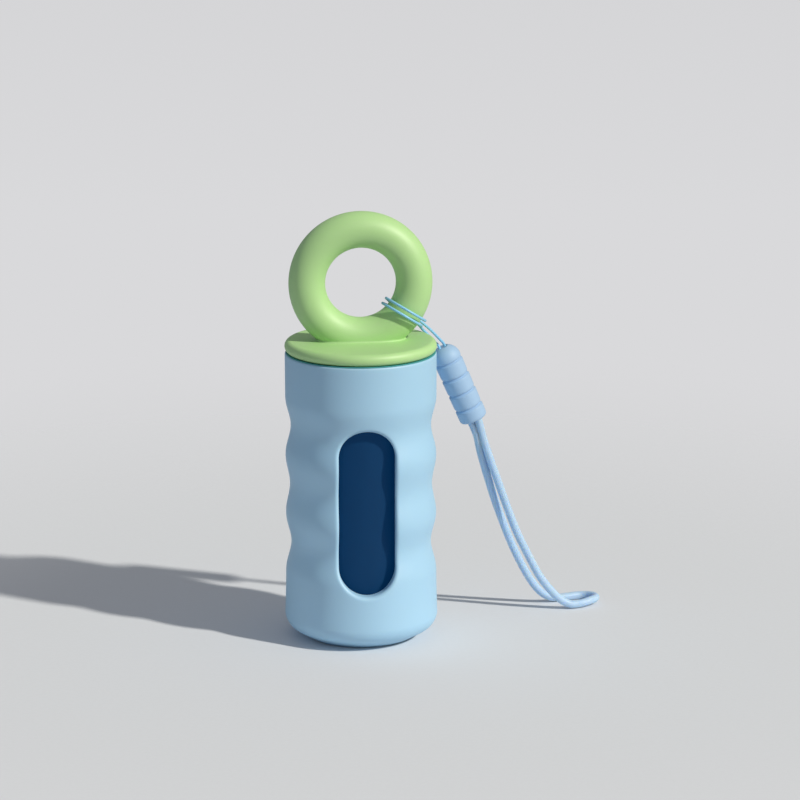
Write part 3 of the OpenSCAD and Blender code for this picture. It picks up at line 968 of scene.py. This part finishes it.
move = rib_tree.add("ShaderNodeVectorMath", {
    0: out.outputs[0], "Scale": m("MULTIPLY", m("MULTIPLY", dip, share), -1.0)},
    operation="SCALE")
pressed = rib_tree.add("GeometryNodeSetPosition", {
    "Geometry": given["Geometry"], "Offset": move.outputs[0]})
end_tree(rib_tree, pressed.outputs[0], sleeve_finish, result)

# %% Press the ribs and turn the sleeve on to its axis
run_tree(sleeve, rib_tree)
sleeve.data.attributes.remove(sleeve.data.attributes["press"])
axes = Matrix((sleeve_side, -sleeve_front, -sleeve_down)).transposed().to_4x4()
sleeve.data.transform(Matrix.Translation(Vector(SLEEVE_TOP) * MM) @ axes)
sleeve.data.shade_smooth()
sleeve.data.set_sharp_from_angle(angle=math.radians(60))
print("sleeve:", len(sleeve.data.polygons), "faces")

# %% [markdown]
# ## The roll of bags
#
# Through the window the roll is seen: thin film wound on a card core. One long band wound in
# a spiral is what the real roll is, and it costs few faces, so the roll is that band: a
# Geometry Nodes spiral that carries an upright strip. The free end of the last bag lies over
# it as its own sheet, a little loose, with the soft waves that thin film has.

# %% The tree that winds the film
FILM_LOW = 2.6
FILM_W = 63.0
FILM_T = 0.3                  # far thicker than film, because 20 turns stand for many more
CORE_R = 7.2
ROLL_R = 15.2
t, given, result = shape_tree("wound_film", {
    "Turns": 20.0, "Inner Radius": (CORE_R + 0.25) * MM, "Outer Radius": (ROLL_R - 0.2) * MM,
    "Film": FILM_T * MM, "Width": FILM_W * MM, "Low": FILM_LOW * MM,
})
spiral = t.add("GeometryNodeCurveSpiral", {
    "Resolution": 64, "Rotations": given["Turns"], "Start Radius": given["Inner Radius"],
    "End Radius": given["Outer Radius"], "Height": 0.0})
upright = t.add("GeometryNodeSetCurveNormal", {"Curve": spiral.outputs[0]}, mode="Z_UP")
strip = t.add("GeometryNodeCurvePrimitiveQuadrilateral", {
    "Width": given["Film"], "Height": given["Width"]}, mode="RECTANGLE")
wound = t.add("GeometryNodeCurveToMesh", {
    "Curve": upright.outputs[0], "Profile Curve": strip.outputs[0], "Fill Caps": True})
middle = t.math("MULTIPLY_ADD", given["Width"], 0.5, given["Low"])
lift = t.add("ShaderNodeCombineXYZ", {"Z": middle})
placed = t.add("GeometryNodeTransform", {
    "Geometry": wound.outputs[0], "Translation": lift.outputs[0]})
end_tree(t, placed.outputs[0], film_finish, result)

# %% Wind the film
film_roll = add_object("film_roll", bpy.data.meshes.new("film_roll"))
run_tree(film_roll, t)
film_roll.data.shade_smooth()
film_roll.data.set_sharp_from_angle(angle=math.radians(40))
spots = [v.co for v in film_roll.data.vertices]
print("film roll:", len(film_roll.data.polygons), "faces, z",
      [round(end(p.z for p in spots) / MM, 2) for end in (min, max)], "radius",
      [round(end(p.xy.length for p in spots) / MM, 2) for end in (min, max)])

# %% The last bag's free end: its sizes and its waves
TAIL_ARC = 150                # degrees round the roll
TAIL_T = 0.12
TAIL_SHORT = 1                # its edges stop short of the roll's
TAIL_CLEAR = 0.05             # off the roll where it is held
TAIL_WAVE = 0.05
TAIL_COLUMNS, TAIL_ROWS = 91, 62
tail_angles = np.radians(np.linspace(-TAIL_ARC / 2, TAIL_ARC / 2, TAIL_COLUMNS))
tail_heights = np.linspace(FILM_LOW + TAIL_SHORT, FILM_LOW + FILM_W - TAIL_SHORT, TAIL_ROWS)


def tail_r(a, z):
    """Radius of the sheet's inner face: soft waves across it, none where it is held."""
    held = 1 - (a / tail_angles[-1]) ** 4
    wave = math.sin(9 * a + 0.05 * z) + 0.6 * math.sin(17 * a - 0.11 * z + 1)
    return ROLL_R + TAIL_CLEAR + TAIL_WAVE * held * (1 + wave / 1.6)


# %% The free end's two faces and its rim
tail_points = []
for thick in (0, TAIL_T):
    for z in tail_heights:
        for a in tail_angles:
            r = tail_r(a, z) + thick
            tail_points.append((r * math.sin(a), -r * math.cos(a), z))
wide, tall = TAIL_COLUMNS, TAIL_ROWS
layer = wide * tall
tail_faces = []
for i in range(tall - 1):
    for j in range(wide - 1):
        a = i * wide + j
        tail_faces.append((a, a + wide, a + wide + 1, a + 1))
        b = a + layer
        tail_faces.append((b, b + 1, b + wide + 1, b + wide))
rim = [*range(wide), *range(2 * wide - 1, layer, wide)]
rim += [*range(layer - 2, layer - wide - 1, -1), *range(layer - 2 * wide, 0, -wide)]
for a, b in zip(rim, rim[1:] + rim[:1]):
    tail_faces.append((a, b, b + layer, a + layer))
bag_end = mesh_object("bag_end", tail_points, tail_faces, 60)
print("bag end:", len(tail_faces), "faces")

# %% [markdown]
# ## Finishes
#
# Every part is one of a few real stuffs: satin moulded plastic, soft rubber, thin film,
# braided cord, card and metal. What several share is built once as a node group that puts
# out values only: a moulded surface has a fine grain, a slow change of gloss and a faint
# change of tone. Each material sets its own numbers and keeps its own shader.


# %% Colours
def tone(r, g, b):
    """A colour given as 0 to 255 screen values, as the linear value that nodes use."""
    def linear(v):
        v /= 255
        return v / 12.92 if v <= 0.04045 else ((v + 0.055) / 1.055) ** 2.4
    return linear(r), linear(g), linear(b), 1.0


# %% A group that puts out values, and the material that it feeds
def shader_group(name, inputs):
    """A group with named inputs that puts out a colour, a roughness and a height."""
    tree = bpy.data.node_groups.new(name, "ShaderNodeTree")
    for label, value in inputs.items():
        kind = "NodeSocketColor" if isinstance(value, tuple) else "NodeSocketFloat"
        socket = tree.interface.new_socket(label, in_out="INPUT", socket_type=kind)
        socket.default_value = value
    for label, kind in (("Colour", "NodeSocketColor"), ("Roughness", "NodeSocketFloat"),
                        ("Height", "NodeSocketFloat")):
        tree.interface.new_socket(label, in_out="OUTPUT", socket_type=kind)
    build = Tree(tree)
    return build, build.add("NodeGroupInput").outputs, build.add("NodeGroupOutput").inputs


BUMP_HEIGHT = 0.02 * MM


def finish(material, group, values, **plain):
    """Places a group in a material and feeds its shader. plain sets the shader's sockets."""
    build = Tree(material.node_tree)
    node = build.add("ShaderNodeGroup", node_tree=group)
    for label, value in values.items():
        node.inputs[label].default_value = value
    shader = build.add("ShaderNodeBsdfPrincipled")
    for label, value in plain.items():
        shader.inputs[label.replace("_", " ")].default_value = value
    build.link(node.outputs["Colour"], shader.inputs["Base Color"])
    build.link(node.outputs["Roughness"], shader.inputs["Roughness"])
    bump = build.add("ShaderNodeBump", {"Height": node.outputs["Height"],
                                        "Distance": BUMP_HEIGHT})
    build.link(bump.outputs[0], shader.inputs["Normal"])
    end = build.add("ShaderNodeOutputMaterial")
    build.link(shader.outputs[0], end.inputs["Surface"])


# %% The group for moulded surfaces
moulded, given, result = shader_group(
    "moulded_surface",
    {"Base": (0.5, 0.5, 0.5, 1.0), "Gloss Loss": 0.45, "Grain Size": 0.0003, "Grain": 0.3,
     "Patchiness": 0.04})
place = moulded.add("ShaderNodeTexCoord").outputs["Object"]
grain = moulded.add("ShaderNodeTexNoise", {
    "Vector": place, "Scale": moulded.math("DIVIDE", 1.0, given["Grain Size"]),
    "Detail": 3.0, "Roughness": 0.6})
patch = moulded.add("ShaderNodeTexNoise", {"Vector": place, "Scale": 70.0, "Detail": 2.0})
patch_value = moulded.math("MULTIPLY", moulded.math("SUBTRACT", patch.outputs[0], 0.5),
                           given["Patchiness"])
tint = moulded.add("ShaderNodeHueSaturation", {
    "Color": given["Base"], "Value": moulded.math("ADD", patch_value, 1.0)})
moulded.link(tint.outputs[0], result["Colour"])
rough = moulded.math("MULTIPLY_ADD", patch_value, 1.5, given["Gloss Loss"])
moulded.link(rough, result["Roughness"])
moulded.link(moulded.math("MULTIPLY", grain.outputs[0], given["Grain"]), result["Height"])
print("moulded surface:", len(moulded.tree.nodes), "nodes")

# %% The group for braided cord, on the cord's own map, with painted shade in the gaps between strands
braid, given, result = shader_group(
    "braided_cord",
    {"Light": (0.5, 0.5, 0.5, 1.0), "Dark": (0.3, 0.3, 0.3, 1.0), "Strands": 8.0,
     "Lay": 1.0, "Gloss Loss": 0.6})
b = braid.math
run = braid.add("ShaderNodeSeparateXYZ", {
    0: braid.add("ShaderNodeUVMap", uv_map="along").outputs[0]})
round_turn = b("MULTIPLY", run.outputs["X"], given["Strands"])
along_turn = b("MULTIPLY", b("MULTIPLY", run.outputs["Y"], given["Strands"]), given["Lay"])
waves = []
for turn_way in ("ADD", "SUBTRACT"):
    phase = b("MULTIPLY", b(turn_way, round_turn, along_turn), math.pi)
    waves.append(b("ABSOLUTE", b("SINE", phase)))
weave = b("MAXIMUM", waves[0], waves[1])
# Between the strands the mix takes the darker tone: painted shade in the braid's hollows. The
# strands' tops keep the lighter tone.
gap_shaded = braid.add("ShaderNodeMix", {"Factor": weave, 6: given["Dark"], 7: given["Light"]},
                  data_type="RGBA")
braid.link(gap_shaded.outputs[2], result["Colour"])
braid.link(b("MULTIPLY_ADD", weave, -0.15, given["Gloss Loss"]), result["Roughness"])
braid.link(weave, result["Height"])
print("braided cord:", len(braid.tree.nodes), "nodes")

# %% Plastic and rubber
finish(shell_finish, moulded.tree, {
    "Base": tone(163, 206, 234), "Gloss Loss": 0.52, "Grain Size": 0.0003, "Grain": 0.35},
    Specular_IOR_Level=0.8, Subsurface_Weight=0.12,
    Subsurface_Radius=(0.001, 0.0014, 0.002), Subsurface_Scale=1.0)
finish(lid_finish, moulded.tree, {
    "Base": tone(176, 219, 150), "Gloss Loss": 0.52, "Grain Size": 0.0003, "Grain": 0.35},
    Specular_IOR_Level=0.8, Subsurface_Weight=0.12,
    Subsurface_Radius=(0.0014, 0.002, 0.001), Subsurface_Scale=1.0)
finish(sleeve_finish, moulded.tree, {
    "Base": tone(158, 192, 226), "Gloss Loss": 0.55, "Grain Size": 0.0002, "Grain": 0.5},
    Sheen_Weight=0.05, Sheen_Roughness=0.5)
seal_finish = new_material("seal_rubber_blue")
finish(seal_finish, moulded.tree, {
    "Base": tone(70, 160, 165), "Gloss Loss": 0.6, "Grain Size": 0.0002, "Grain": 0.6})
card_finish = new_material("grey_card")
finish(card_finish, moulded.tree, {
    "Base": tone(172, 150, 120), "Gloss Loss": 0.85, "Grain Size": 0.0006, "Grain": 1.0,
    "Patchiness": 0.2})
metal_finish = new_material("crimp_tin")
finish(metal_finish, moulded.tree, {
    "Base": tone(190, 190, 194), "Gloss Loss": 0.35, "Grain Size": 0.0004, "Grain": 0.5},
    Metallic=1.0)

# %% Film: light enters the wound layers and comes back blue, and a faint emission paints a glow that lifts its shaded part
finish(film_finish, moulded.tree, {
    "Base": tone(6, 50, 90), "Gloss Loss": 0.6, "Grain Size": 0.0012, "Grain": 0.6,
    "Patchiness": 0.15},
    # The emission is a painted glow, no lamp: it brightens the cast shade that falls on the film
    # inside the window.
    Specular_IOR_Level=0.15, Emission_Color=(0.0, 0.03, 0.09, 1.0), Emission_Strength=0.35,
    Subsurface_Weight=0.6, Subsurface_Radius=(0.002, 0.003, 0.004), Subsurface_Scale=1.0)

# %% Cords
# Each cord's darker tone is painted shade for the gaps in its braid.
thin_finish = new_material("bright_blue_braid")
finish(thin_finish, braid.tree, {
    "Light": tone(150, 212, 250), "Dark": tone(80, 165, 215), "Strands": 4.0, "Lay": 0.7,
    "Gloss Loss": 0.5})
thick_finish = new_material("soft_blue_braid")
finish(thick_finish, braid.tree, {
    "Light": tone(182, 209, 236), "Dark": tone(154, 189, 224), "Strands": 12.0, "Lay": 0.5,
    "Gloss Loss": 0.6},
    Subsurface_Weight=0.7, Subsurface_Radius=(0.0012, 0.0016, 0.0022), Subsurface_Scale=1.0)

# %% Dress the pieces and the CAD's own nodes
for piece, material in ((lid_cap, lid_finish), (lid_plug, lid_finish), (seal_lip, seal_finish),
                        (hitch_cord, thin_finish), (wrist_cord, thick_finish),
                        (bag_end, film_finish)):
    piece.data.materials.clear()
    piece.data.materials.append(material)
for node, material in (("seal_ring", seal_finish), ("roll_core", card_finish),
                       ("cord_crimp", metal_finish)):
    for slot in bpy.data.objects[node].material_slots:
        slot.material = material
print("materials in the scene:", len(bpy.data.materials))

# %% [markdown]
# ## Which body each piece rides on
#
# A piece that replaces a part of the construction says so, and moves with the same body. The
# thin cord crosses the joint at the sleeve's eye. It rides on no body, and its place is baked
# into its mesh.

# %% Bodies, replaced parts and finishes' names
for piece, body, slot, nodes in (
    (shell, "shell", "shell_plastic", ["body_shell"]),
    (mouth_thread, "shell", "shell_plastic", []),
    (lid_cap, "lid", "lid_plastic", ["lid"]),
    (lid_plug, "lid", "lid_plastic", []),
    (lid_thread, "lid", "lid_plastic", []),
    (seal_lip, "seal", "seal_rubber", []),
    (film_roll, "roll", "bag_film", ["bag_roll"]),
    (bag_end, "roll", "bag_film", ["bag_tail"]),
    (sleeve, "strap", "sleeve_rubber", ["sleeve"]),
    (wrist_cord, "strap", "thick_cord", ["wrist_cord"]),
):
    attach(piece, body)
    if nodes:
        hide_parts(*nodes)
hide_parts("hitch_cord", "hitch_cord_ends")
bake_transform(hitch_cord)

# %% [markdown]
# ## Floor and light
#
# The studio is one sun from the right, so that the grooves read as soft bands and a clear
# shadow falls to the left, and a weak sky that keeps the shadow side open, cool on the left
# and warm on the right. The floor takes the shadow near the object and fades out further off,
# where the same pale grey lies behind it, so that no horizon shows. Only the camera and rays
# through clear things see that grey. Gloss mirrors the weak sky instead, because a mirrored
# white room would lay a veil over the shaded sides.

# %% The floor's disc
FLOOR_R = 1600                # mm, like the other sizes
FLOOR_SIDES = 72
floor_points = [(0, 0, 0)]
floor_points += [(FLOOR_R * math.cos(a), FLOOR_R * math.sin(a), 0)
                 for a in np.arange(FLOOR_SIDES) * 2 * math.pi / FLOOR_SIDES]
floor_faces = [(0, i, i % FLOOR_SIDES + 1) for i in range(1, FLOOR_SIDES + 1)]
floor = mesh_object("floor", floor_points, floor_faces)
print("floor:", len(floor_faces), "faces")

# %% The floor's finish
FADE_FROM, FADE_TO = 0.08, 0.34    # metres from the origin
pale = new_material("pale_floor")
f = Tree(pale.node_tree)
place = f.add("ShaderNodeTexCoord").outputs["Object"]
away = f.add("ShaderNodeVectorMath", {0: place}, operation="LENGTH").outputs["Value"]
fade = f.add("ShaderNodeMapRange", {
    "Value": away, "From Min": FADE_FROM, "From Max": FADE_TO},
    interpolation_type="SMOOTHSTEP")
speckle = f.add("ShaderNodeTexNoise", {"Vector": place, "Scale": 900.0, "Detail": 2.0})
floor_tone = f.add("ShaderNodeMix", {"Factor": speckle.outputs[0], 6: tone(220, 225, 231),
                                     7: tone(224, 229, 235)}, data_type="RGBA")
matt = f.add("ShaderNodeBsdfPrincipled", {"Base Color": floor_tone.outputs[2],
                                          "Roughness": 0.9, "Specular IOR Level": 0.1})
clear = f.add("ShaderNodeBsdfTransparent")
both = f.add("ShaderNodeMixShader", {0: fade.outputs[0], 1: matt.outputs[0],
                                     2: clear.outputs[0]})
end = f.add("ShaderNodeOutputMaterial", {"Surface": both.outputs[0]})
floor.data.materials.append(pale)

# %% The sun
SUN_ROUND = -36.0             # degrees from +X, towards the viewer
SUN_HIGH = 36.0               # degrees above the floor
SUN_SIZE = 2.5                # degrees across, which softens the shadow's edge
SUN_LEVEL = 2.9
SUN_TINT = (1.06, 1.0, 0.9)
sun = add_object("sun", bpy.data.lights.new("sun", "SUN"))
sun.data.energy = SUN_LEVEL
sun.data.color = SUN_TINT
sun.data.angle = math.radians(SUN_SIZE)
sun_from = Vector((*turned(math.cos(math.radians(SUN_HIGH)), 0, SUN_ROUND),
                   math.sin(math.radians(SUN_HIGH))))
sun.rotation_euler = sun_from.to_track_quat("Z", "Y").to_euler()
print("sun comes from", [round(x, 2) for x in sun_from])

# %% The sky
SKY_LEVEL = 0.3
SKY_LEFT = (0.88, 0.97, 1.13, 1.0)
SKY_RIGHT = (1.04, 0.95, 0.87, 1.0)
BACKDROP = tone(217, 217, 219)
BACKDROP_HIGH = tone(213, 213, 215)
BACKDROP_TURN = (-0.18, -0.115)    # how steeply a ray falls where the backdrop's tone turns
world = bpy.data.worlds.new("studio")
bpy.context.scene.world = world
world.use_nodes = True
world.node_tree.nodes.clear()
s = Tree(world.node_tree)
light_path = s.add("ShaderNodeLightPath").outputs
seen = s.math("MAXIMUM", light_path["Is Camera Ray"], light_path["Is Transmission Ray"])
direction = s.add("ShaderNodeTexCoord").outputs["Generated"]
axes = s.add("ShaderNodeSeparateXYZ", {0: direction}).outputs
side_share = s.add("ShaderNodeMapRange", {"Value": axes["X"], "From Min": -1.0, "From Max": 1.0})
fill = s.add("ShaderNodeMix", {"Factor": side_share.outputs[0], 6: SKY_LEFT, 7: SKY_RIGHT},
             data_type="RGBA")
sky = s.add("ShaderNodeBackground", {"Color": fill.outputs[2], "Strength": SKY_LEVEL})
height_share = s.add("ShaderNodeMapRange", {
    "Value": axes["Z"], "From Min": BACKDROP_TURN[0], "From Max": BACKDROP_TURN[1]})
behind = s.add("ShaderNodeMix", {"Factor": height_share.outputs[0], 6: BACKDROP,
                                 7: BACKDROP_HIGH}, data_type="RGBA")
backdrop = s.add("ShaderNodeBackground", {"Color": behind.outputs[2], "Strength": 1.0})
shown = s.add("ShaderNodeMixShader", {0: seen, 1: sky.outputs[0], 2: backdrop.outputs[0]})
s.add("ShaderNodeOutputWorld", {"Surface": shown.outputs[0]})
bpy.context.scene.view_settings.view_transform = "Standard"
print("sky at", SKY_LEVEL, "of full white")
